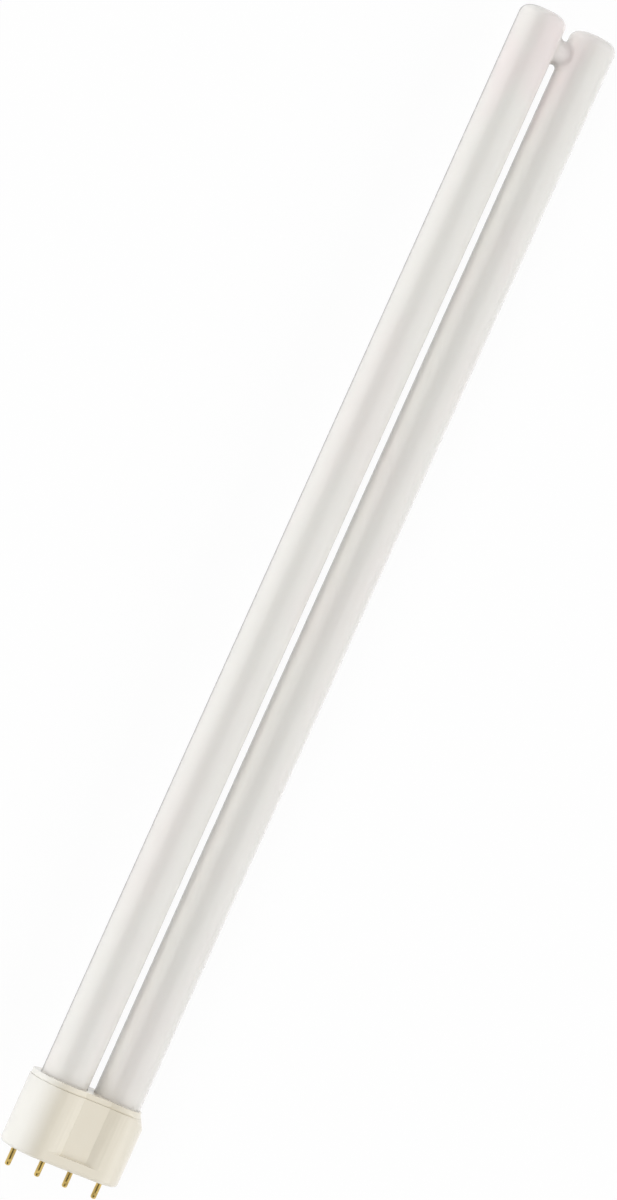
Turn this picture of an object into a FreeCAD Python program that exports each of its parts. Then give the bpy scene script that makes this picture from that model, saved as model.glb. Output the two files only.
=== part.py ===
import FreeCAD, Part
import math
import os
import Sketcher

# Four pin compact fluorescent lamp: two parallel glass tubes joined by a bridge near their
# tips, held in one moulded cap with four pins in a row. The lamp lies on its broad side.
# Origin: middle of the cap's pin face. +Y runs along the lamp to the tube tips, +X across
# both tubes, +Z up out of the broad face. All sizes are in millimetres.

SIZES = (
    ("lamp_length", 410.0, "pin face of the cap to the tips of the tubes"),
    ("tube_diameter", 16.4, "outside of each glass tube"),
    ("tube_gap", 3.6, "free space between the two tubes"),
    ("tip_radius", 3.4, "rounding at the rim of each closed tube tip"),
    ("tip_crown", 28.0, "radius of the shallow crown on each tip"),
    ("bridge_diameter", 8.7, "outside of the glass bridge between the tubes"),
    ("bridge_depth", 10.7, "tube tips to the axis of the bridge"),
    ("bridge_waist", 0.2, "plain stretch of the bridge between its fused fillets"),
    ("neck_length", 4.4, "stretch over which a tube is drawn down to its seal"),
    ("seal_inset", 2.2, "each edge of a flat seal, inside the outline of its tube"),
    ("seal_thickness", 3.2, "flat seal, through"),
    ("seal_length", 3.0, "flat seal, along the lamp"),
    ("exhaust_diameter", 3.2, "closed stub of the exhaust tube below a seal"),
    ("exhaust_length", 2.8, "stub, along the lamp"),
    ("stub_round", 1.3, "rounding of the closed end of a stub"),
    ("cap_height", 26.0, "pin face to the top of the collar"),
    ("cap_wall", 2.4, "wall of the cap outside its sockets"),
    ("face_inset", 1.3, "flat broad faces of the cap, below its round ends and foot band"),
    ("band_height", 3.9, "foot band round the pin face"),
    ("foot_round", 1.3, "rounding of the edge of the pin face"),
    ("floor_thickness", 3.0, "wall that carries the pins"),
    ("boss_diameter", 4.6, "boss inside the cap round each pin"),
    ("boss_height", 1.4, "boss, above the floor"),
    ("socket_gap", 0.8, "cement space between a tube and its socket"),
    ("collar_thickness", 2.0, "rim of the collar that closes the cap"),
    ("collar_inset", 0.4, "collar rim, inside the outline of the cap"),
    ("collar_clearance", 0.1, "collar bore, outside the tube"),
    ("spigot_length", 2.6, "ring of the collar that enters a socket"),
    ("spigot_clearance", 0.1, "ring of the collar, inside the socket"),
    ("shoulder_shift", 3.0, "axis of the sloping shoulder, inwards from that of the right tube"),
    ("shoulder_wall", 0.35, "collar wall left at the sloping shoulder"),
    ("shoulder_lip", 0.7, "straight lip above the sloping shoulder"),
    ("shoulder_drop", 5.5, "top of the cap to the foot of the sloping shoulder"),
    ("cement_length", 4.6, "cement ring, along the tube"),
    ("cement_gap", 0.2, "cement ring, below the collar's ring"),
    ("pin_diameter", 1.9, "contact pins"),
    ("pin_length", 6.6, "pins, beyond the pin face"),
    ("pin_margin", 2.75, "outer pins, from the far walls of their sockets"),
    ("pin_middle", 10.5, "between the two inner pins"),
    ("shank_diameter", 2.3, "thicker stretch of each pin inside the floor"),
    ("pin_bore", 1.1, "bore of each hollow pin"),
    ("pin_tip_round", 0.75, "rounding of the pin tips"),
    ("shank_clearance", 0.03, "hole in the floor, outside the shank"),
    ("flange_diameter", 3.4, "pin flange on its boss"),
    ("flange_thickness", 0.5, "pin flange, along the pin"),
    ("crimp_length", 2.4, "closed end of a pin that grips the wire"),
    ("crimp_place", 1.7, "pin tip to the middle of the crimp notch"),
    ("crimp_radius", 0.8, "round nose of the crimping tool"),
    ("crimp_depth", 0.25, "crimp notch, below the pin's surface"),
    ("lead_diameter", 0.6, "lead wires"),
    ("lead_spacing", 8.0, "between the two wires of one seal"),
    ("lead_room", 4.2, "boss tops to the ends of the seals"),
    ("lead_straight", 0.5, "straight stretch of a wire at its seal"),
    ("lead_clearance", 0.03, "crimped bore, outside the wire"),
    ("lead_end_gap", 0.1, "end of a wire, above the end of its bore"),
)

TUBE_RADIUS = "(Sizes.tube_diameter / 2)"
TUBE_X = "((Sizes.tube_diameter + Sizes.tube_gap) / 2)"
BRIDGE_BLEND = "((Sizes.tube_gap - Sizes.bridge_waist) / 2)"
SHELL_HEIGHT = "(Sizes.cap_height - Sizes.collar_thickness)"
SOCKET_RADIUS = "(Sizes.tube_diameter / 2 + Sizes.socket_gap)"
CAP_RADIUS = f"({SOCKET_RADIUS} + Sizes.cap_wall)"
SEAL_WIDTH = "(Sizes.tube_diameter - 2 * Sizes.seal_inset)"
COLLAR_BORE = "(Sizes.tube_diameter / 2 + Sizes.collar_clearance)"
BOSS_TOP = "(Sizes.floor_thickness + Sizes.boss_height)"
SEAL_END = f"({BOSS_TOP} + Sizes.lead_room)"
SEAL_TOP = f"({SEAL_END} + Sizes.seal_length)"
TUBE_START = f"({SEAL_TOP} + Sizes.neck_length)"
PIN_HOLE = "(Sizes.shank_diameter / 2 + Sizes.shank_clearance)"
INNER_PIN_X = "(Sizes.pin_middle / 2)"
OUTER_PIN_X = f"({TUBE_X} + {SOCKET_RADIUS} - Sizes.pin_margin)"
CLEAR = 2.0
SHOULDER_TURN = 180
TOLERANCE = 1e-3


def read(expression):
    """Value of an expression over the sheet, as a plain number."""
    return float(sheet.evalExpression(expression))


def make_sheet():
    """Sheet of the driving sizes, one named cell each."""
    table = doc.addObject("Spreadsheet::Sheet", "Sizes")
    for row, (alias, size, meaning) in enumerate(SIZES, 1):
        table.set(f"A{row}", alias)
        table.set(f"B{row}", str(size))
        table.set(f"C{row}", meaning)
        table.setAlias(f"B{row}", alias)
    doc.recompute()
    return table


def new_body(label):
    """Empty body of one sub-part, named as its node."""
    body = doc.addObject("PartDesign::Body", label)
    body.Label = label
    return body


def plane(body, role):
    """Origin plane of a body, by its role."""
    for feature in body.Origin.OriginFeatures:
        if feature.Role == role:
            return feature
    raise ValueError(f"{body.Label} has no {role}")


def new_sketch(body, name, role, across="0", along="0"):
    """Sketch on an origin plane, moved across in the plane or along its normal."""
    sketch = body.newObject("Sketcher::SketchObject", name)
    sketch.AttachmentSupport = [(plane(body, role), "")]
    sketch.MapMode = "FlatFace"
    sketch.setExpression("AttachmentOffset.Base.x", across)
    sketch.setExpression("AttachmentOffset.Base.z", along)
    return sketch


def section_sketch(body, name, height="0"):
    """Sketch square to the lamp's axis at a height above the pin face; its y is +Z."""
    return new_sketch(body, name, "XZ_Plane", along=f"-({height})")


def bind(sketch, kind, references, expression):
    """Dimension of a sketch, bound to the sheet."""
    index = sketch.addConstraint(Sketcher.Constraint(kind, *references, read(expression)))
    name = f"{kind}_{index}"
    sketch.renameConstraint(index, name)
    sketch.setExpression(f"Constraints.{name}", expression)


def bind_point(sketch, element, vertex, across, up):
    """Place of one point of a sketch, from the sketch's origin."""
    bind(sketch, "DistanceX", (-1, 1, element, vertex), across)
    bind(sketch, "DistanceY", (-1, 1, element, vertex), up)


def add_circle(sketch, across, up, radius):
    """Circle with its centre and radius bound to the sheet."""
    centre = FreeCAD.Vector(read(across), read(up), 0)
    circle = Part.Circle(centre, FreeCAD.Vector(0, 0, 1), read(radius))
    element = sketch.addGeometry(circle, False)
    bind_point(sketch, element, 3, across, up)
    bind(sketch, "Radius", (element,), radius)


def add_polygon(sketch, corners):
    """Closed outline of straight lines with every corner bound to the sheet."""
    points = [FreeCAD.Vector(read(across), read(up), 0) for across, up in corners]
    first = sketch.GeometryCount
    count = len(points)
    for index, start in enumerate(points):
        sketch.addGeometry(Part.LineSegment(start, points[(index + 1) % count]), False)
    for index, (across, up) in enumerate(corners):
        following = first + (index + 1) % count
        sketch.addConstraint(Sketcher.Constraint("Coincident", first + index, 2, following, 1))
        bind_point(sketch, first + index, 1, across, up)


def arc_between(centre, radius, start, end):
    """Arc, counter-clockwise between two angles in radians."""
    circle = Part.Circle(centre, FreeCAD.Vector(0, 0, 1), radius)
    return Part.ArcOfCircle(circle, start, end)


def pad(body, name, sketch, length, reverse=False, both_ways=False):
    """Prism on a sketch, its length bound to the sheet."""
    feature = body.newObject("PartDesign::Pad", name)
    feature.Profile = sketch
    feature.setExpression("Length", length)
    feature.Reversed = reverse
    feature.Midplane = both_ways
    return feature


def pocket(body, name, sketch, length, reverse=False, both_ways=False):
    """Prism cut away from the body; it has to take some material with it."""
    doc.recompute()
    before = body.Shape.Volume
    feature = body.newObject("PartDesign::Pocket", name)
    feature.Profile = sketch
    feature.setExpression("Length", length)
    feature.Reversed = reverse
    feature.Midplane = both_ways
    doc.recompute()
    if body.Shape.Volume > before - TOLERANCE:
        raise ValueError(f"{body.Label}: {name} cuts nothing")
    return feature


def pick_edges(feature, wanted):
    """Names of the edges of a feature that a test picks."""
    names = []
    for index, edge in enumerate(feature.Shape.Edges, 1):
        if not edge.Degenerated and wanted(edge):
            names.append(f"Edge{index}")
    if not names:
        raise ValueError(f"{feature.Label}: no edge found")
    return names


def fillet(body, name, radius, wanted):
    """Rounding of the picked edges of the body so far."""
    doc.recompute()
    base = body.Tip
    feature = body.newObject("PartDesign::Fillet", name)
    feature.Base = (base, pick_edges(base, wanted))
    feature.setExpression("Radius", radius)
    doc.recompute()
    return feature


def lies_at_height(edge, height):
    """Whether an edge lies in the plane square to the lamp's axis at a height."""
    box = edge.BoundBox
    return abs(box.YMin - height) < TOLERANCE and abs(box.YMax - height) < TOLERANCE


def make_discharge_tube():
    """Sealed glass: two tubes, their bridge, drawn-down ends with flat seals and stubs."""
    body = new_body("discharge_tube")
    radius = read(TUBE_RADIUS)
    top = read("Sizes.lamp_length")
    rim = read("Sizes.tip_radius")
    crown = read("Sizes.tip_crown")
    start = read(TUBE_START)

    # Half section of one tube: its side, the rounded rim and the shallow crown of its tip.
    profile = new_sketch(body, "tube_profile", "XY_Plane", across=TUBE_X)
    rise = math.sqrt((crown - rim) ** 2 - (radius - rim) ** 2)
    rim_centre = FreeCAD.Vector(radius - rim, top - crown + rise, 0)
    crown_centre = FreeCAD.Vector(0, top - crown, 0)
    turn = math.atan2(rise, radius - rim)
    corners = [(0, start), (radius, start), (radius, rim_centre.y)]
    points = [FreeCAD.Vector(across, up, 0) for across, up in corners]
    base = profile.addGeometry(Part.LineSegment(points[0], points[1]), False)
    side = profile.addGeometry(Part.LineSegment(points[1], points[2]), False)
    rim_arc = profile.addGeometry(arc_between(rim_centre, rim, 0, turn), False)
    crown_arc = profile.addGeometry(arc_between(crown_centre, crown, turn, math.pi / 2), False)
    tip = FreeCAD.Vector(0, top, 0)
    axis = profile.addGeometry(Part.LineSegment(tip, points[0]), False)
    for constraint in (
        ("Coincident", base, 2, side, 1),
        ("Tangent", side, 2, rim_arc, 1),
        ("Tangent", rim_arc, 2, crown_arc, 1),
        ("Coincident", crown_arc, 2, axis, 1),
        ("Coincident", axis, 2, base, 1),
        ("Horizontal", base),
        ("Vertical", side),
        ("PointOnObject", base, 1, -2),
        ("PointOnObject", axis, 1, -2),
        ("PointOnObject", crown_arc, 3, -2),
    ):
        profile.addConstraint(Sketcher.Constraint(*constraint))
    bind_point(profile, side, 1, TUBE_RADIUS, TUBE_START)
    bind(profile, "DistanceY", (-1, 1, axis, 1), "Sizes.lamp_length")
    bind(profile, "Radius", (rim_arc,), "Sizes.tip_radius")
    bind(profile, "Radius", (crown_arc,), "Sizes.tip_crown")
    tube = body.newObject("PartDesign::Revolution", "tube")
    tube.Profile = profile
    tube.ReferenceAxis = (profile, ["V_Axis"])
    tube.Angle = 360

    # Neck from the round tube to the flat seal, then the seal and the exhaust stub.
    round_end = section_sketch(body, "round_end", TUBE_START)
    add_circle(round_end, TUBE_X, "0", TUBE_RADIUS)
    flat_end = section_sketch(body, "flat_end", SEAL_TOP)
    add_seal_outline(flat_end)
    neck = body.newObject("PartDesign::AdditiveLoft", "neck")
    neck.Profile = round_end
    neck.Sections = [flat_end]
    seal_outline = section_sketch(body, "seal_outline", SEAL_END)
    add_seal_outline(seal_outline)
    seal = pad(body, "seal", seal_outline, "Sizes.seal_length", reverse=True)
    stub_outline = section_sketch(body, "stub_outline", SEAL_END)
    add_circle(stub_outline, TUBE_X, "0", "Sizes.exhaust_diameter / 2")
    stub = pad(body, "exhaust_stub", stub_outline, "Sizes.exhaust_length")

    # Bridge across to the other tube, and the other tube as the mirror image of the first.
    bridge_outline = new_sketch(body, "bridge_outline", "YZ_Plane")
    add_circle(bridge_outline, "Sizes.lamp_length - Sizes.bridge_depth", "0",
               "Sizes.bridge_diameter / 2")
    pad(body, "bridge", bridge_outline, f"2 * {TUBE_X}", both_ways=True)
    doc.recompute()
    pair = body.newObject("PartDesign::Mirrored", "tube_pair")
    pair.Originals = [tube, neck, seal, stub]
    pair.MirrorPlane = (plane(body, "YZ_Plane"), [""])
    body.Tip = pair

    # The fused glass flows in a fillet from the bridge into both tubes.
    waist = read("Sizes.bridge_diameter / 2")
    bridge_y = read("Sizes.lamp_length - Sizes.bridge_depth")

    def on_bridge(edge):
        middle = edge.valueAt((edge.FirstParameter + edge.LastParameter) / 2)
        points = [middle] + [vertex.Point for vertex in edge.Vertexes]
        return all(
            abs(math.hypot(point.y - bridge_y, point.z) - waist) < TOLERANCE
            for point in points
        )

    fillet(body, "bridge_fillet", BRIDGE_BLEND, on_bridge)
    stub_end = read(f"{SEAL_END} - Sizes.exhaust_length")
    fillet(body, "stub_dome", "Sizes.stub_round", lambda edge: lies_at_height(edge, stub_end))
    return body


def add_seal_outline(sketch):
    """Outline of a flat seal: long sides joined by round ends."""
    middle = read(TUBE_X)
    half = read("Sizes.seal_thickness / 2")
    reach = read(f"{SEAL_WIDTH} / 2") - half
    right = FreeCAD.Vector(middle + reach, 0, 0)
    left = FreeCAD.Vector(middle - reach, 0, 0)
    up = FreeCAD.Vector(0, half, 0)
    quarter = math.pi / 2
    right_arc = sketch.addGeometry(arc_between(right, half, -quarter, quarter), False)
    upper = sketch.addGeometry(Part.LineSegment(right + up, left + up), False)
    left_arc = sketch.addGeometry(arc_between(left, half, quarter, 3 * quarter), False)
    lower = sketch.addGeometry(Part.LineSegment(left - up, right - up), False)
    for constraint in (
        ("Tangent", right_arc, 2, upper, 1),
        ("Tangent", upper, 2, left_arc, 1),
        ("Tangent", left_arc, 2, lower, 1),
        ("Tangent", lower, 2, right_arc, 1),
        ("Horizontal", upper),
    ):
        sketch.addConstraint(Sketcher.Constraint(*constraint))
    reach_size = f"({SEAL_WIDTH} - Sizes.seal_thickness) / 2"
    bind_point(sketch, right_arc, 3, f"{TUBE_X} + {reach_size}", "0")
    bind(sketch, "DistanceX", (-1, 1, left_arc, 3), f"{TUBE_X} - {reach_size}")
    bind(sketch, "Radius", (right_arc,), "Sizes.seal_thickness / 2")


def add_cap_section(body, inset, start, height):
    """Outside of the cap over one stretch: two round ends and the flat broad faces between."""
    end_radius = f"{CAP_RADIUS} - {inset}"
    face = f"{CAP_RADIUS} - Sizes.face_inset - {inset}"
    left_outline = section_sketch(body, "left_end_outline", start)
    add_circle(left_outline, f"-{TUBE_X}", "0", end_radius)
    pad(body, "left_end", left_outline, height, reverse=True)
    faces_outline = section_sketch(body, "broad_faces_outline", start)
    add_block(faces_outline, face)
    pad(body, "broad_faces", faces_outline, height, reverse=True)
    right_outline = section_sketch(body, "right_end_outline", start)
    add_circle(right_outline, TUBE_X, "0", end_radius)
    pad(body, "right_end", right_outline, height, reverse=True)


def add_block(sketch, half):
    """Rectangle from one tube axis to the other, with half its height above them."""
    add_polygon(sketch, [
        (f"-{TUBE_X}", f"-({half})"),
        (TUBE_X, f"-({half})"),
        (TUBE_X, half),
        (f"-{TUBE_X}", half),
    ])


def cut_shoulder(body):
    """Sloping shoulder across the right end, turned about an axis inside that end.

    Its radius is longer than that of the end it cuts, so it runs out on both broad sides.
    """
    lip = f"Sizes.shoulder_shift + {COLLAR_BORE} + Sizes.shoulder_wall"
    reach = f"Sizes.shoulder_shift + {CAP_RADIUS}"
    outside = f"{reach} + {CLEAR}"
    lip_foot = "Sizes.cap_height - Sizes.shoulder_lip"
    foot = "Sizes.cap_height - Sizes.shoulder_drop"
    top = f"Sizes.cap_height + {CLEAR}"
    doc.recompute()
    before = body.Shape.Volume
    sketch = new_sketch(body, "shoulder_profile", "XY_Plane",
                        across=f"{TUBE_X} - Sizes.shoulder_shift")
    add_polygon(sketch, [
        (lip, lip_foot),
        (lip, top),
        (outside, top),
        (outside, foot),
        (reach, foot),
    ])
    groove = body.newObject("PartDesign::Groove", "shoulder")
    groove.Profile = sketch
    groove.ReferenceAxis = (sketch, ["V_Axis"])
    groove.Angle = SHOULDER_TURN
    groove.Midplane = True
    doc.recompute()
    if body.Shape.Volume > before - TOLERANCE:
        raise ValueError(f"{body.Label}: the shoulder cuts nothing")


def add_socket_circles(sketch, radius):
    """One circle round each tube axis."""
    for side in (f"-{TUBE_X}", TUBE_X):
        add_circle(sketch, side, "0", radius)


def add_pin_circles(sketch, radius):
    """One circle round each pin axis."""
    for place in (f"-{OUTER_PIN_X}", f"-{INNER_PIN_X}", INNER_PIN_X, OUTER_PIN_X):
        add_circle(sketch, place, "0", radius)


def make_cap_shell():
    """Moulded cap: foot band, round ends, flat broad faces, two sockets, four bosses."""
    body = new_body("cap_shell")
    add_cap_section(body, "0", "0", SHELL_HEIGHT)
    band_outline = section_sketch(body, "foot_band_outline")
    add_block(band_outline, CAP_RADIUS)
    pad(body, "foot_band", band_outline, "Sizes.band_height", reverse=True)

    # The rounding comes before the pin holes, while the outline is the face's only edge.
    fillet(body, "foot_edge", "Sizes.foot_round", lambda edge: lies_at_height(edge, 0))
    cut_shoulder(body)

    sockets_outline = section_sketch(body, "sockets_outline", SHELL_HEIGHT)
    add_socket_circles(sockets_outline, SOCKET_RADIUS)
    pocket(body, "sockets", sockets_outline, f"{SHELL_HEIGHT} - Sizes.floor_thickness",
           reverse=True)
    bosses_outline = section_sketch(body, "bosses_outline", "Sizes.floor_thickness")
    add_pin_circles(bosses_outline, "Sizes.boss_diameter / 2")
    pad(body, "bosses", bosses_outline, "Sizes.boss_height", reverse=True)
    holes_outline = section_sketch(body, "pin_holes_outline", BOSS_TOP)
    add_pin_circles(holes_outline, PIN_HOLE)
    pocket(body, "pin_holes", holes_outline, BOSS_TOP, reverse=True)
    return body


def make_tube_collar():
    """Collar that closes the cap: a rim outside, and a ring round each tube inside."""
    body = new_body("tube_collar")
    add_cap_section(body, "Sizes.collar_inset", SHELL_HEIGHT, "Sizes.collar_thickness")
    cut_shoulder(body)
    rings_outline = section_sketch(body, "rings_outline", SHELL_HEIGHT)
    add_socket_circles(rings_outline, f"{SOCKET_RADIUS} - Sizes.spigot_clearance")
    pad(body, "rings", rings_outline, "Sizes.spigot_length")
    bores_outline = section_sketch(body, "bores_outline", "Sizes.cap_height")
    add_socket_circles(bores_outline, COLLAR_BORE)
    pocket(body, "bores", bores_outline, "Sizes.collar_thickness + Sizes.spigot_length",
           reverse=True)
    return body


def make_cement(label, side):
    """Ring of cement between one tube and its socket."""
    body = new_body(label)
    top = f"{SHELL_HEIGHT} - Sizes.spigot_length - Sizes.cement_gap"
    outline = section_sketch(body, "ring_outline", top)
    add_circle(outline, "0", "0", SOCKET_RADIUS)
    add_circle(outline, "0", "0", TUBE_RADIUS)
    pad(body, "ring", outline, "Sizes.cement_length")
    body.setExpression("Placement.Base.x", f"{side}{TUBE_X}")
    return body


def make_contact_pin(label, place):
    """Hollow pin: flange on its boss, thicker shank, round tip, crimp notch on its upper side."""
    body = new_body(label)
    outer = "Sizes.pin_diameter / 2"
    shank = "Sizes.shank_diameter / 2"
    flange = "Sizes.flange_diameter / 2"
    bore = "Sizes.pin_bore / 2"
    narrow = "Sizes.lead_diameter / 2 + Sizes.lead_clearance"
    head = f"{BOSS_TOP} + Sizes.flange_thickness"
    crimp_start = "Sizes.crimp_length - Sizes.pin_length"
    bore_end = "Sizes.crimp_place / 2 - Sizes.pin_length"
    profile = new_sketch(body, "pin_profile", "XY_Plane")
    add_polygon(profile, [
        (bore, head),
        (flange, head),
        (flange, BOSS_TOP),
        (shank, BOSS_TOP),
        (shank, "0"),
        (outer, "0"),
        (outer, "-Sizes.pin_length"),
        ("0", "-Sizes.pin_length"),
        ("0", bore_end),
        (narrow, bore_end),
        (narrow, crimp_start),
        (bore, crimp_start),
    ])
    turned = body.newObject("PartDesign::Revolution", "turned_pin")
    turned.Profile = profile
    turned.ReferenceAxis = (profile, ["V_Axis"])
    turned.Angle = 360
    tip = read("-Sizes.pin_length")
    fillet(body, "round_tip", "Sizes.pin_tip_round", lambda edge: lies_at_height(edge, tip))
    notch_outline = new_sketch(body, "notch_outline", "YZ_Plane")
    add_circle(notch_outline, "Sizes.crimp_place - Sizes.pin_length",
               f"{outer} + Sizes.crimp_radius - Sizes.crimp_depth", "Sizes.crimp_radius")
    pocket(body, "crimp_notch", notch_outline, "Sizes.shank_diameter", both_ways=True)
    body.setExpression("Placement.Base.x", place)
    return body


def make_lead_wire(label, place, seal_place):
    """Wire from a seal, through an easy double bend, down into the bore of its pin."""
    body = new_body(label)
    shift = f"({seal_place} - ({place}))"
    bend_top = f"{SEAL_END} - Sizes.lead_straight"
    bend_foot = f"{BOSS_TOP} + Sizes.flange_thickness"
    wire_end = "Sizes.crimp_place / 2 - Sizes.pin_length + Sizes.lead_end_gap"
    aside = read(shift)
    high = read(bend_top)
    low = read(bend_foot)
    drop = high - low
    turn = 2 * math.atan2(abs(aside), drop)
    radius = drop / (2 * math.sin(turn))
    side = math.copysign(1, aside)
    upper_centre = FreeCAD.Vector(aside - side * radius, high, 0)
    lower_centre = FreeCAD.Vector(side * radius, low, 0)
    if side > 0:
        upper_bend = arc_between(upper_centre, radius, -turn, 0)
        lower_bend = arc_between(lower_centre, radius, math.pi - turn, math.pi)
        upper_ends = (2, 1)
        lower_ends = (1, 2)
    else:
        upper_bend = arc_between(upper_centre, radius, math.pi, math.pi + turn)
        lower_bend = arc_between(lower_centre, radius, 0, turn)
        upper_ends = (1, 2)
        lower_ends = (2, 1)

    path = new_sketch(body, "wire_path", "XY_Plane")
    seal_point = FreeCAD.Vector(aside, read(SEAL_END), 0)
    top_point = FreeCAD.Vector(aside, high, 0)
    foot_point = FreeCAD.Vector(0, low, 0)
    end_point = FreeCAD.Vector(0, read(wire_end), 0)
    first = path.addGeometry(Part.LineSegment(seal_point, top_point), False)
    upper = path.addGeometry(upper_bend, False)
    lower = path.addGeometry(lower_bend, False)
    last = path.addGeometry(Part.LineSegment(foot_point, end_point), False)
    for constraint in (
        ("Tangent", first, 2, upper, upper_ends[0]),
        ("Tangent", upper, upper_ends[1], lower, lower_ends[0]),
        ("Tangent", lower, lower_ends[1], last, 1),
        ("Equal", upper, lower),
        ("Vertical", first),
        ("Vertical", last),
    ):
        path.addConstraint(Sketcher.Constraint(*constraint))
    bind_point(path, first, 1, shift, SEAL_END)
    bind(path, "DistanceY", (-1, 1, first, 2), bend_top)
    bind(path, "DistanceY", (-1, 1, last, 1), bend_foot)
    bind_point(path, last, 2, "0", wire_end)
    section = section_sketch(body, "wire_section", SEAL_END)
    add_circle(section, shift, "0", "Sizes.lead_diameter / 2")
    wire = body.newObject("PartDesign::AdditivePipe", "wire")
    wire.Profile = section
    wire.Spine = path
    body.setExpression("Placement.Base.x", place)
    return body


def check(parts):
    """Stops if any object failed, or a sub-part is not one valid solid."""
    for item in doc.Objects:
        if "Invalid" in item.State or "Error" in item.State:
            raise ValueError(f"{item.Label} failed: {item.State}")
    for part in parts:
        if part.Shape.isNull() or not part.Shape.isValid():
            raise ValueError(f"{part.Label} has no valid shape")
        if len(part.Shape.Solids) != 1:
            raise ValueError(f"{part.Label} has {len(part.Shape.Solids)} solids")


doc = FreeCAD.newDocument("lamp")
sheet = make_sheet()
parts = [make_discharge_tube(), make_cap_shell(), make_tube_collar()]
for number, side in enumerate(("-", ""), 1):
    parts.append(make_cement(f"cement_{number}", side))
PIN_PLACES = (
    (f"-{OUTER_PIN_X}", f"-{TUBE_X} - Sizes.lead_spacing / 2"),
    (f"-{INNER_PIN_X}", f"-{TUBE_X} + Sizes.lead_spacing / 2"),
    (INNER_PIN_X, f"{TUBE_X} - Sizes.lead_spacing / 2"),
    (OUTER_PIN_X, f"{TUBE_X} + Sizes.lead_spacing / 2"),
)
for number, (pin_place, seal_place) in enumerate(PIN_PLACES, 1):
    parts.append(make_contact_pin(f"contact_pin_{number}", pin_place))
    parts.append(make_lead_wire(f"lead_wire_{number}", pin_place, seal_place))
doc.recompute()
check(parts)
os.makedirs("parts", exist_ok=True)
for part in parts:
    part.Shape.exportStep(f"parts/{part.Label}.step")
    box = part.Shape.optimalBoundingBox(False, False)
    print(f"{part.Label}: {part.Shape.Volume:.2f} mm3, "
          f"x {box.XMin:.2f} to {box.XMax:.2f}, "
          f"y {box.YMin:.2f} to {box.YMax:.2f}, z {box.ZMin:.2f} to {box.ZMax:.2f}")
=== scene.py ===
import math

import bpy
from mathutils import Matrix, Vector


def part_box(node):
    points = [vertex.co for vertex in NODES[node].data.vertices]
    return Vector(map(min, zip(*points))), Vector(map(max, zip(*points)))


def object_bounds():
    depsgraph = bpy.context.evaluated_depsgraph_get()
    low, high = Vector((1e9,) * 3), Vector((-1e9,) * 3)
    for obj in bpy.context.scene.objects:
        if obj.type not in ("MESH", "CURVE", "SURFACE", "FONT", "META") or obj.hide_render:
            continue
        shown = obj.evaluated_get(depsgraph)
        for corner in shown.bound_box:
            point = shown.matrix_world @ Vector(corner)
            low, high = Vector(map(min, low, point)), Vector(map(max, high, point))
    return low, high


# Looks of a four pin compact fluorescent lamp that lies on its broad side. Lengths are in
# metres: +Y runs along the lamp to its tube tips, +X across both tubes, +Z up.

bl_info = {
    "name": "Twin-tube lamp dresser",
    "version": (1, 0, 0),
    "blender": (4, 5, 0),
    "location": "View3D > Sidebar > Lamp",
    "description": "Gives a four pin compact fluorescent lamp its glass, plastic and metal finishes",
    "category": "Material",
}

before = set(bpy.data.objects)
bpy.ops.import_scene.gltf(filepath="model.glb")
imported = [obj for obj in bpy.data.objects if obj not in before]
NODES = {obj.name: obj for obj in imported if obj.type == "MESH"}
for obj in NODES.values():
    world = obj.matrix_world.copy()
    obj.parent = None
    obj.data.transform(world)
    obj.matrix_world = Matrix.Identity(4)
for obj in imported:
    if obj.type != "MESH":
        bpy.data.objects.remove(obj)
CAD_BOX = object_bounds()

PIN_NAMES = tuple(f"contact_pin_{number}" for number in range(1, 5))
WIRE_NAMES = tuple(f"lead_wire_{number}" for number in range(1, 5))
CEMENT_NAMES = ("cement_1", "cement_2")
FLOOR_Z = CAD_BOX[0].z
TIP_Y = CAD_BOX[1].y
CAP_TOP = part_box("tube_collar")[1].y
PIN_TIP = CAD_BOX[0].y
MIDDLE_Y = (TIP_Y + PIN_TIP) / 2

# Cloudy patterns: how many clouds there are to the metre, how much closer they lie along each
# axis, how many finer layers they have and how strong those are.
PATTERNS = {
    "glass_clouds": {"scale": 55.0, "stretch": (1.0, 0.45, 1.0), "detail": 2.0},
    "glass_speckle": {"scale": 900.0, "detail": 4.0},
    "glass_waves": {"scale": 140.0, "stretch": (1.0, 0.08, 1.0), "detail": 2.0},
    "melt_flow": {"scale": 70.0, "stretch": (1.0, 0.35, 1.0)},
    "mould_grain": {"scale": 2600.0, "detail": 5.0, "rough": 0.6},
    "cement_sand": {"scale": 1800.0, "detail": 6.0, "rough": 0.7},
    "pin_rings": {"scale": 500.0, "stretch": (0.15, 9.0, 0.15)},
    "pin_film": {"scale": 600.0, "detail": 4.0},
    "wire_streaks": {"scale": 3000.0, "stretch": (1.0, 0.04, 1.0), "detail": 2.0},
    "cloth_weave": {"scale": 400.0, "detail": 2.0},
    "floor_fibre": {"scale": 300.0, "detail": 4.0},
}

# How far the blush reaches from the tips, and where above the collar the painted shade near
# the cap sets in and is full.
BLUSH_REACH = 0.075
CAP_SHADE_FROM = 0.018
CAP_SHADE_FULL = -0.002

# Where across the lamp the painted dark edge line and the cap's painted highlight set in and are
# full.
EDGE_LINE_FROM = -0.012
EDGE_LINE_FULL = -0.016
HIGHLIGHT_FROM = -0.0115
HIGHLIGHT_FULL = -0.0205

CREVICE_WIDTH = 0.001
GLASS_SCATTER = 0.005

JOIN_DISTANCE = 1e-6
HARD_EDGE = math.radians(40.0)

# Each soft lamp's lean from overhead towards -X, in degrees, and its width.
LAMPS = {"left": (45.0, 0.8), "low": (88.5, 0.29), "right": (-60.0, 0.8)}
LAMP_DISTANCE = 1.5
LAMP_LENGTH = 4.0

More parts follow.
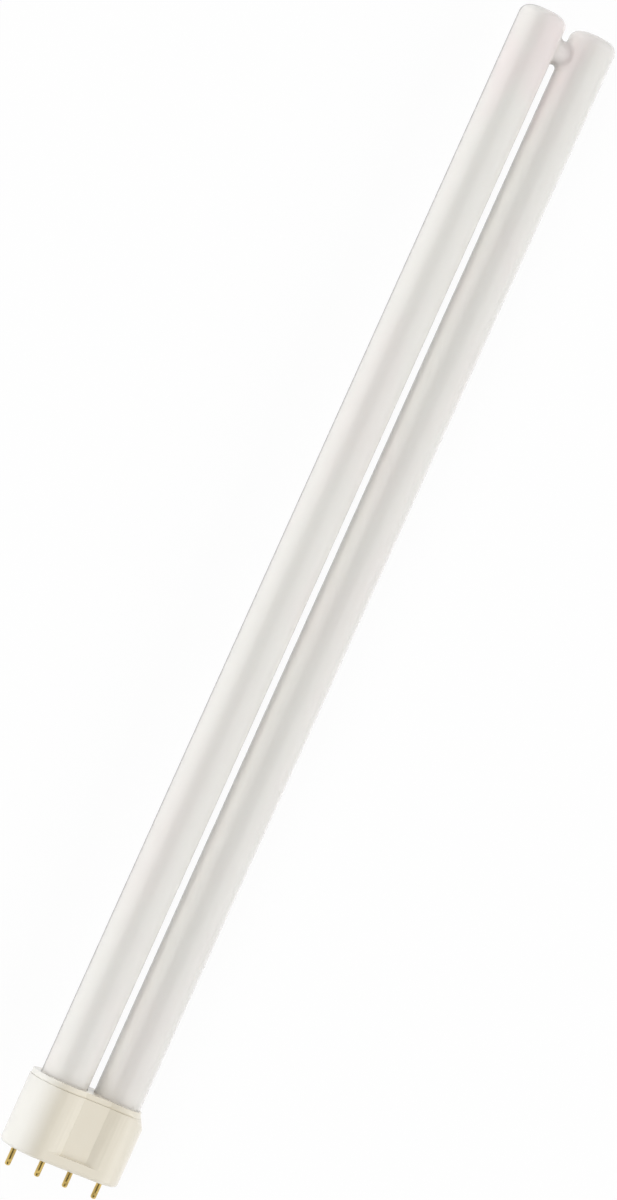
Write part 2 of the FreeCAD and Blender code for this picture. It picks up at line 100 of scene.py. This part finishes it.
# The dark strip round the camera: its distance, half its length and its lean in radians.
GAP_RADIUS = 2.0
GAP_REACH = 3.0
GAP_TURNS = tuple(math.radians(angle) for angle in range(-5, 56, 10))
UNSEEN_BY = ("camera", "diffuse", "transmission", "volume_scatter", "shadow")
CLOTH_DARK = (0.02, 0.02, 0.02)
CLOTH_PALE = (0.03, 0.03, 0.03)

FLOOR_REACH = 6.0

CAMERA_TARGET = Vector((-0.001065, 0.20149, 0.0))
CAMERA_DISTANCE = 1.4398
CAMERA_YAW = math.radians(22.462)
CAMERA_PITCH = math.radians(-1.339)
CAMERA_ROLL = math.radians(24.245)
SENSOR_WIDTH = 36.0


def colour_property(name, description, default):
    """Colour of a finish, as a swatch in the sidebar."""
    return bpy.props.FloatVectorProperty(
        name=name, description=description, default=default,
        subtype="COLOR", size=3, min=0.0, max=1.0)


def share_property(name, description, default):
    """Share from none to all, as a slider in the sidebar."""
    return bpy.props.FloatProperty(
        name=name, description=description, default=default,
        subtype="FACTOR", min=0.0, max=1.0)


def length_property(name, description, default):
    """Length in metres, shown in the scene's unit."""
    return bpy.props.FloatProperty(
        name=name, description=description, default=default,
        subtype="DISTANCE", unit="LENGTH", min=0.0, precision=5)


def amount_property(name, description, default, most=20.0):
    """Plain number from nothing up to a limit."""
    return bpy.props.FloatProperty(
        name=name, description=description, default=default, min=0.0, max=most)


class GlassFinish(bpy.types.PropertyGroup):
    powder: colour_property(
        "Powder", "White powder that lines the tubes", (0.82, 0.81, 0.775))
    blush: colour_property(
        "Blush", "Faint pinkish clouds where the powder is thin", (0.83, 0.765, 0.75))
    # Painted shade: the powder is painted darker near the cap, where the cap shades the tubes.
    cap_shade: colour_property(
        "Scorch", "Darkened powder round the electrodes, near the cap", (0.77, 0.74, 0.69))
    # Painted shade: a dark line painted along the outer edge of one tube, where it is seen edge-on.
    edge: colour_property(
        "Edge", "Bare glass seen edge-on, along the outside of one tube", (0.36, 0.355, 0.35))
    gloss: share_property(
        "Roughness", "Roughness of the outside of the glass", 0.16)
    wave: length_property(
        "Wave", "Height of the slow waves that drawing leaves in the glass", 0.00003)
    pits: length_property(
        "Pits", "Height of the powder's grain under the glass", 0.000006)


class PlasticFinish(bpy.types.PropertyGroup):
    cream: colour_property("Cream", "Moulded cap and collar", (0.82, 0.765, 0.645))
    shade: colour_property(
        "Flow shade", "Slightly darker streaks where the melt flowed", (0.78, 0.71, 0.565))
    # Painted highlight: the cap's left end is painted paler, where the light falls strongest.
    painted_highlight: colour_property(
        "Faded", "Plastic that light has bleached, on the cap's left end", (0.855, 0.838, 0.785))
    # Painted shade: colour painted darker in seams and corners, where shade falls.
    seam_shade: colour_property("Soil", "Dust held in the seams and corners", (0.42, 0.35, 0.235))
    roughness: share_property("Roughness", "Roughness of the moulded faces", 0.33)
    skin: share_property("Skin roughness", "Roughness of the moulding's smooth skin", 0.24)
    grain: length_property("Grain", "Height of the mould's fine grain", 0.000012)
    softness: length_property("Softness", "Rounding of the moulded edges", 0.00022)


class MetalFinish(bpy.types.PropertyGroup):
    brass: colour_property("Brass", "Bright brass of the contact pins", (0.76, 0.56, 0.19))
    tarnish: colour_property("Tarnish", "Brown film on the pins", (0.34, 0.235, 0.075))
    turning: length_property("Turning", "Height of the turning marks on the pins", 0.000012)
    wire: colour_property("Wire", "Nickel of the lead wires", (0.62, 0.6, 0.56))
    drawing: length_property("Drawing", "Height of the drawn streaks on the wires", 0.000004)
    cement: colour_property("Cement", "Baked cement in the sockets", (0.55, 0.48, 0.38))
    sand: length_property("Sand", "Height of the cement's sandy grain", 0.00012)


class StudioSettings(bpy.types.PropertyGroup):
    floor: colour_property("Floor", "Floor that the lamp lies on", (0.9, 0.9, 0.9))
    whiteness: share_property(
        "Whiteness", "Share of the floor that shows as plain white", 0.96)
    world: amount_property("World", "Brightness of the light from all round", 0.02, 5.0)
    left: amount_property("Left lamp", "Brightness of the soft lamp on the left", 3.0)
    low: amount_property("Low lamp", "Brightness of the strip lamp low on the left", 3.3)
    right: amount_property("Right lamp", "Brightness of the soft lamp on the right", 3.4)
    focal: amount_property(
        "Focal length", "Focal length of the camera in millimetres", 131.8, 500.0)


def settings():
    """The groups of sizes and colours that the sidebar shows."""
    scene = bpy.context.scene
    return scene.lamp_glass, scene.lamp_plastic, scene.lamp_metal, scene.lamp_studio


def darker(colour, share):
    """A colour with this share of each channel."""
    return tuple(share * channel for channel in colour)


class Shader:
    """A material's node tree, built with short calls."""

    def __init__(self, name):
        self.material = bpy.data.materials.new(name)
        self.material.use_nodes = True
        self.tree = self.material.node_tree
        self.surface = self.tree.nodes["Principled BSDF"]
        self.output = self.tree.nodes["Material Output"]
        self.place = self.add("ShaderNodeTexCoord").outputs["Object"]

    def add(self, kind, **values):
        """New node with its own settings."""
        node = self.tree.nodes.new(kind)
        for key, value in values.items():
            setattr(node, key, value)
        return node

    def link(self, source, target):
        """Joins an output to an input."""
        self.tree.links.new(source, target)

    def feed(self, socket, value):
        """Links a socket, or sets it where the value is plain."""
        if isinstance(value, bpy.types.NodeSocket):
            self.link(value, socket)
        else:
            socket.default_value = value

    def set(self, **values):
        """Inputs of the surface, named with underscores."""
        for key, value in values.items():
            self.feed(self.surface.inputs[key.replace("_", " ")], value)

    def stretched(self, scale):
        """Object coordinates, scaled apart along each axis."""
        mapping = self.add("ShaderNodeMapping")
        self.link(self.place, mapping.inputs["Vector"])
        mapping.inputs["Scale"].default_value = scale
        return mapping.outputs["Vector"]

    def noise(self, scale, stretch=None, detail=3.0, rough=0.5):
        """Cloudy pattern with about this many clouds to the metre."""
        node = self.add("ShaderNodeTexNoise")
        self.link(self.stretched(stretch) if stretch else self.place, node.inputs["Vector"])
        node.inputs["Scale"].default_value = scale
        node.inputs["Detail"].default_value = detail
        node.inputs["Roughness"].default_value = rough
        return node.outputs["Fac"]

    def pattern(self, name):
        """One of the patterns named at the top."""
        return self.noise(**PATTERNS[name])

    def remap(self, value, low, high, to_low=0.0, to_high=1.0, smooth=False):
        """Carries a value from one range into another, and holds it there."""
        node = self.add("ShaderNodeMapRange", interpolation_type="SMOOTHSTEP" if smooth else "LINEAR")
        self.feed(node.inputs["Value"], value)
        node.inputs["From Min"].default_value = low
        node.inputs["From Max"].default_value = high
        node.inputs["To Min"].default_value = to_low
        node.inputs["To Max"].default_value = to_high
        return node.outputs["Result"]

    def combine(self, operation, first, second):
        """Sum, product or other arithmetic of two values."""
        node = self.add("ShaderNodeMath", operation=operation)
        self.feed(node.inputs[0], first)
        self.feed(node.inputs[1], second)
        return node.outputs["Value"]

    def blend(self, share, first, second):
        """Mix of two colours by a share."""
        node = self.add("ShaderNodeMix", data_type="RGBA")
        self.feed(node.inputs["Factor"], share)
        for socket, value in ((node.inputs[6], first), (node.inputs[7], second)):
            if not isinstance(value, bpy.types.NodeSocket):
                value = (*value, 1.0)
            self.feed(socket, value)
        return node.outputs[2]

    def along(self, axis):
        """Place along one of the lamp's axes, in metres."""
        parts = self.add("ShaderNodeSeparateXYZ")
        self.link(self.place, parts.inputs["Vector"])
        return parts.outputs[axis]

    def bump(self, height, distance):
        """Normal of a surface that rises by this distance where the height is 1."""
        node = self.add("ShaderNodeBump")
        node.inputs["Strength"].default_value = 1.0
        node.inputs["Distance"].default_value = distance
        self.link(height, node.inputs["Height"])
        return node.outputs["Normal"]

    def crevices(self):
        """1 in corners and seams, 0 on open faces."""
        node = self.add("ShaderNodeAmbientOcclusion", samples=8)
        node.inputs["Distance"].default_value = CREVICE_WIDTH
        return self.combine("SUBTRACT", 1.0, node.outputs["AO"])


def dress(names, material):
    """Gives CAD nodes one material in their own slots."""
    for name in names:
        mesh = NODES[name].data
        mesh.materials.clear()
        mesh.materials.append(material)


def soften(name, width):
    """Rounds the hard edges of a CAD node, with its own mesh left as it is."""
    node = NODES[name]
    weld = node.modifiers.new("joined", "WELD")
    weld.merge_threshold = JOIN_DISTANCE
    bevel = node.modifiers.new("soft_edges", "BEVEL")
    bevel.width = width
    bevel.segments = 2
    bevel.limit_method = "ANGLE"
    bevel.angle_limit = HARD_EDGE
    bevel.use_clamp_overlap = True
    bevel.harden_normals = True


class LAMP_OT_discharge_tube(bpy.types.Operator):
    """Lines the glass tubes with white powder under a clear, slightly wavy wall"""
    bl_idname = "lamp.discharge_tube"
    bl_label = "Discharge tube"

    def execute(self, context):
        glass = settings()[0]
        shader = Shader("powder_lined_glass")
        along = shader.along("Y")
        clouds = shader.pattern("glass_clouds")
        speckle = shader.pattern("glass_speckle")
        waves = shader.pattern("glass_waves")
        tip = shader.remap(along, TIP_Y - BLUSH_REACH, TIP_Y, 0.25, 1.05, smooth=True)
        patch = shader.combine("MULTIPLY", shader.remap(clouds, 0.42, 0.7, smooth=True), tip)
        powder = shader.blend(shader.remap(speckle, 0.3, 0.75, 0.0, 0.16), tuple(glass.powder),
                              tuple(glass.blush))
        tinted = shader.blend(patch, powder, tuple(glass.blush))
        # Painted shade: the powder darkens towards the cap, where the cap shades and tints the tubes.
        near_cap = shader.remap(along, CAP_TOP + CAP_SHADE_FROM, CAP_TOP + CAP_SHADE_FULL, smooth=True)
        cap_shade = shader.combine("MULTIPLY", near_cap, shader.remap(clouds, 0.2, 0.8, 0.1, 0.3))
        shaded_powder = shader.blend(cap_shade, tinted, tuple(glass.cap_shade))
        # Painted shade: a dark line along the left tube's outer edge, where it is seen edge-on; no
        # coat there.
        facing = shader.add("ShaderNodeLayerWeight")
        facing.inputs["Blend"].default_value = 0.5
        outer = shader.remap(shader.along("X"), EDGE_LINE_FROM, EDGE_LINE_FULL, smooth=True)
        painted_edge_shade = shader.combine("MULTIPLY", outer,
                             shader.remap(facing.outputs["Facing"], 0.68, 0.85, smooth=True))
        shader.set(Base_Color=shader.blend(painted_edge_shade, shaded_powder, tuple(glass.edge)),
                   Roughness=shader.remap(speckle, 0.3, 0.7, 0.5, 0.62),
                   Subsurface_Weight=0.6,
                   Subsurface_Scale=GLASS_SCATTER,
                   Subsurface_Radius=(1.0, 1.0, 1.0),
                   Coat_Weight=shader.combine("SUBTRACT", 1.0, painted_edge_shade),
                   Coat_IOR=1.5,
                   Coat_Roughness=glass.gloss,
                   Normal=shader.bump(speckle, glass.pits),
                   Coat_Normal=shader.bump(waves, glass.wave))
        dress(("discharge_tube",), shader.material)
        return {"FINISHED"}


def moulded_plastic(name, plastic):
    """Satin cream plastic, fine grain, flow streaks, a painted highlight on one end, painted seam
    shade.
    """
    shader = Shader(name)
    flow = shader.pattern("melt_flow")
    grain = shader.pattern("mould_grain")
    mottled = shader.blend(shader.remap(flow, 0.35, 0.7, 0.0, 0.35), tuple(plastic.cream),
                           tuple(plastic.shade))
    peppered = shader.blend(shader.remap(grain, 0.55, 0.8, 0.0, 0.18), mottled,
                            tuple(plastic.shade))
    # Painted highlight: the cap's left end is painted paler, as if lit more strongly.
    highlight_mask = shader.remap(shader.along("X"), HIGHLIGHT_FROM, HIGHLIGHT_FULL, smooth=True)
    highlighted = shader.blend(highlight_mask, peppered, tuple(plastic.painted_highlight))
    # Painted shade: seams and corners, found by occlusion, are painted darker.
    seam_shade_share = shader.remap(shader.crevices(), 0.5, 0.95, 0.0, 0.3)
    shader.set(Base_Color=shader.blend(seam_shade_share, highlighted, tuple(plastic.seam_shade)),
               Coat_Weight=0.8,
               Coat_IOR=1.55,
               Coat_Roughness=plastic.skin,
               Roughness=shader.remap(flow, 0.3, 0.7, plastic.roughness - 0.05,
                                      plastic.roughness + 0.07),
               Normal=shader.bump(grain, plastic.grain))
    return shader.material


class LAMP_OT_cap(bpy.types.Operator):
    """Gives the cap shell and its collar a satin moulded finish and soft edges"""
    bl_idname = "lamp.cap"
    bl_label = "Cap and collar"

    def execute(self, context):
        plastic = settings()[1]
        for name, slot in (("cap_shell", "cap_plastic"), ("tube_collar", "collar_plastic")):
            dress((name,), moulded_plastic(f"moulded_{name}", plastic))
            soften(name, plastic.softness)
        return {"FINISHED"}


class LAMP_OT_cement(bpy.types.Operator):
    """Gives the cement rings a dull, sandy finish"""
    bl_idname = "lamp.cement"
    bl_label = "Cement rings"

    def execute(self, context):
        metal = settings()[2]
        shader = Shader("baked_cement")
        sand = shader.pattern("cement_sand")
        pale = tuple(metal.cement)
        shader.set(Base_Color=shader.blend(shader.remap(sand, 0.35, 0.7), darker(pale, 0.7), pale),
                   Roughness=shader.remap(sand, 0.3, 0.7, 0.8, 0.95),
                   Normal=shader.bump(sand, metal.sand))
        dress(CEMENT_NAMES, shader.material)
        return {"FINISHED"}


class LAMP_OT_contact_pins(bpy.types.Operator):
    """Gives the contact pins bright brass with a brown film and turning marks"""
    bl_idname = "lamp.contact_pins"
    bl_label = "Contact pins"

    def execute(self, context):
        metal = settings()[2]
        shader = Shader("pin_brass")
        rings = shader.pattern("pin_rings")
        film = shader.pattern("pin_film")
        hollows = shader.remap(shader.crevices(), 0.25, 0.7)
        cover = shader.combine("MAXIMUM", shader.remap(film, 0.45, 0.7, 0.12, 0.6), hollows)
        shader.set(Base_Color=shader.blend(cover, tuple(metal.brass), tuple(metal.tarnish)),
                   Metallic=1.0,
                   Roughness=shader.remap(film, 0.3, 0.7, 0.3, 0.45),
                   Normal=shader.bump(rings, metal.turning))
        dress(PIN_NAMES, shader.material)
        return {"FINISHED"}


class LAMP_OT_lead_wires(bpy.types.Operator):
    """Gives the lead wires a drawn nickel finish"""
    bl_idname = "lamp.lead_wires"
    bl_label = "Lead wires"

    def execute(self, context):
        metal = settings()[2]
        shader = Shader("drawn_nickel")
        streaks = shader.pattern("wire_streaks")
        bright = tuple(metal.wire)
        shader.set(Base_Color=shader.blend(streaks, darker(bright, 0.75), bright),
                   Metallic=1.0,
                   Roughness=shader.remap(streaks, 0.3, 0.7, 0.25, 0.4),
                   Normal=shader.bump(streaks, metal.drawing))
        dress(WIRE_NAMES, shader.material)
        return {"FINISHED"}


def seen_directly(tree):
    """1 for rays from the camera, a mirror-like surface or clear glass, 0 for soft light."""
    path = tree.nodes.new("ShaderNodeLightPath")
    chosen = path.outputs["Is Camera Ray"]
    for name in ("Is Glossy Ray", "Is Transmission Ray"):
        either = tree.nodes.new("ShaderNodeMath")
        either.operation = "MAXIMUM"
        tree.links.new(chosen, either.inputs[0])
        tree.links.new(path.outputs[name], either.inputs[1])
        chosen = either.outputs["Value"]
    return chosen


def place_in_scene(name, data):
    """New object in the scene's own collection."""
    item = bpy.data.objects.new(name, data)
    bpy.context.scene.collection.objects.link(item)
    return item


def studio_mesh(name, points, faces, material):
    """Mesh that stands in the studio and isn't part of the lamp."""
    mesh = bpy.data.meshes.new(name)
    mesh.from_pydata(points, [], faces)
    mesh.materials.append(material)
    return place_in_scene(name, mesh)


def soft_lamp(name, lean, width, brightness):
    """Rectangular lamp that leans from overhead towards -X and aims at the lamp's middle."""
    data = bpy.data.lights.new(name, "AREA")
    data.shape = "RECTANGLE"
    data.size = width
    data.size_y = LAMP_LENGTH
    data.energy = brightness * math.pi * data.size * data.size_y
    lamp = place_in_scene(name, data)
    lamp.location = (-LAMP_DISTANCE * math.sin(lean), MIDDLE_Y, LAMP_DISTANCE * math.cos(lean))
    lamp.rotation_euler = (0.0, -lean, 0.0)
    lamp.visible_camera = False
    lamp.visible_glossy = False


def add_dark_gap():
    """Dark strip round the camera, seen only as a mirror image in gloss."""
    points = [(-GAP_RADIUS * math.sin(turn), MIDDLE_Y + side, GAP_RADIUS * math.cos(turn))
              for turn in GAP_TURNS for side in (-GAP_REACH, GAP_REACH)]
    faces = [(2 * index, 2 * index + 1, 2 * index + 3, 2 * index + 2)
             for index in range(len(GAP_TURNS) - 1)]
    shader = Shader("black_cloth")
    weave = shader.pattern("cloth_weave")
    shader.set(Base_Color=shader.blend(weave, CLOTH_DARK, CLOTH_PALE),
               Roughness=1.0)
    gap = studio_mesh("dark_gap", points, faces, shader.material)
    for ray in UNSEEN_BY:
        setattr(gap, f"visible_{ray}", False)


def add_floor(studio):
    """Wide white floor under the lamp, which keeps its shadow."""
    corners = [(x * FLOOR_REACH, y * FLOOR_REACH, FLOOR_Z)
               for x, y in ((-1, -1), (1, -1), (1, 1), (-1, 1))]
    shader = Shader("white_floor")
    fibre = shader.pattern("floor_fibre")
    pale = tuple(studio.floor)
    shader.set(Base_Color=shader.blend(shader.remap(fibre, 0.3, 0.7), pale, darker(pale, 0.99)),
               Roughness=0.9,
               Specular_IOR_Level=0.0)
    shine = shader.add("ShaderNodeEmission")
    mix = shader.add("ShaderNodeMixShader")
    share = shader.combine("MULTIPLY", seen_directly(shader.tree), studio.whiteness)
    shader.link(share, mix.inputs["Fac"])
    shader.link(shader.surface.outputs["BSDF"], mix.inputs[1])
    shader.link(shine.outputs["Emission"], mix.inputs[2])
    shader.link(mix.outputs["Shader"], shader.output.inputs["Surface"])
    floor = studio_mesh("floor", corners, [(0, 1, 2, 3)], shader.material)


def add_world(studio):
    """Faint even light from all round, in a room that shows as plain white."""
    world = bpy.data.worlds.new("white_room")
    bpy.context.scene.world = world
    world.use_nodes = True
    tree = world.node_tree
    brightness = tree.nodes.new("ShaderNodeMapRange")
    tree.links.new(seen_directly(tree), brightness.inputs["Value"])
    brightness.inputs["To Min"].default_value = studio.world
    brightness.inputs["To Max"].default_value = 1.0
    background = tree.nodes["Background"]
    background.inputs["Color"].default_value = (1.0, 1.0, 1.0, 1.0)
    tree.links.new(brightness.outputs["Result"], background.inputs["Strength"])


def add_camera(studio):
    """Camera above the lamp's left, rolled so that the lamp leans across the picture."""
    back = Vector((-math.sin(CAMERA_YAW) * math.cos(CAMERA_PITCH), math.sin(CAMERA_PITCH),
                   math.cos(CAMERA_YAW) * math.cos(CAMERA_PITCH)))
    along = Vector((0.0, 1.0, 0.0))
    level_up = (along - back * back.y).normalized()
    level_right = level_up.cross(back)
    up = math.cos(CAMERA_ROLL) * level_up - math.sin(CAMERA_ROLL) * level_right
    right = up.cross(back)
    data = bpy.data.cameras.new("camera")
    data.sensor_width = SENSOR_WIDTH
    data.lens = studio.focal
    camera = place_in_scene("camera", data)
    turn = Matrix((right, up, back)).transposed().to_4x4()
    camera.matrix_world = Matrix.Translation(CAMERA_TARGET + CAMERA_DISTANCE * back) @ turn
    bpy.context.scene.camera = camera


class LAMP_OT_studio(bpy.types.Operator):
    """Sets the lamp on a white floor between soft lamps, with the camera above"""
    bl_idname = "lamp.studio"
    bl_label = "Floor, lamps and camera"

    def execute(self, context):
        studio = settings()[3]
        add_floor(studio)
        add_world(studio)
        for side, (lean, width) in LAMPS.items():
            soft_lamp(f"{side}_lamp", math.radians(lean), width, getattr(studio, side))
        add_dark_gap()
        add_camera(studio)
        context.scene.view_settings.view_transform = "Standard"
        return {"FINISHED"}


OPERATORS = (LAMP_OT_discharge_tube, LAMP_OT_cap, LAMP_OT_cement, LAMP_OT_contact_pins,
             LAMP_OT_lead_wires, LAMP_OT_studio)


class LAMP_PT_dresser(bpy.types.Panel):
    """Finishes of the lamp, and the steps that lay them on"""
    bl_label = "Twin-tube lamp"
    bl_idname = "LAMP_PT_dresser"
    bl_space_type = "VIEW_3D"
    bl_region_type = "UI"
    bl_category = "Lamp"

    def draw(self, context):
        column = self.layout.column()
        for operator in OPERATORS:
            column.operator(operator.bl_idname)
        for group in settings():
            box = self.layout.box()
            for key in group.__annotations__:
                box.prop(group, key)


GROUPS = (("lamp_glass", GlassFinish), ("lamp_plastic", PlasticFinish),
          ("lamp_metal", MetalFinish), ("lamp_studio", StudioSettings))


def register():
    for name, group in GROUPS:
        bpy.utils.register_class(group)
        setattr(bpy.types.Scene, name, bpy.props.PointerProperty(type=group))
    for item in (*OPERATORS, LAMP_PT_dresser):
        bpy.utils.register_class(item)


def unregister():
    for item in (LAMP_PT_dresser, *reversed(OPERATORS)):
        bpy.utils.unregister_class(item)
    for name, group in reversed(GROUPS):
        delattr(bpy.types.Scene, name)
        bpy.utils.unregister_class(group)


def main():
    register()
    bpy.ops.lamp.discharge_tube()
    bpy.ops.lamp.cap()
    bpy.ops.lamp.cement()
    bpy.ops.lamp.contact_pins()
    bpy.ops.lamp.lead_wires()
    bpy.ops.lamp.studio()


if __name__ == "__main__":
    main()
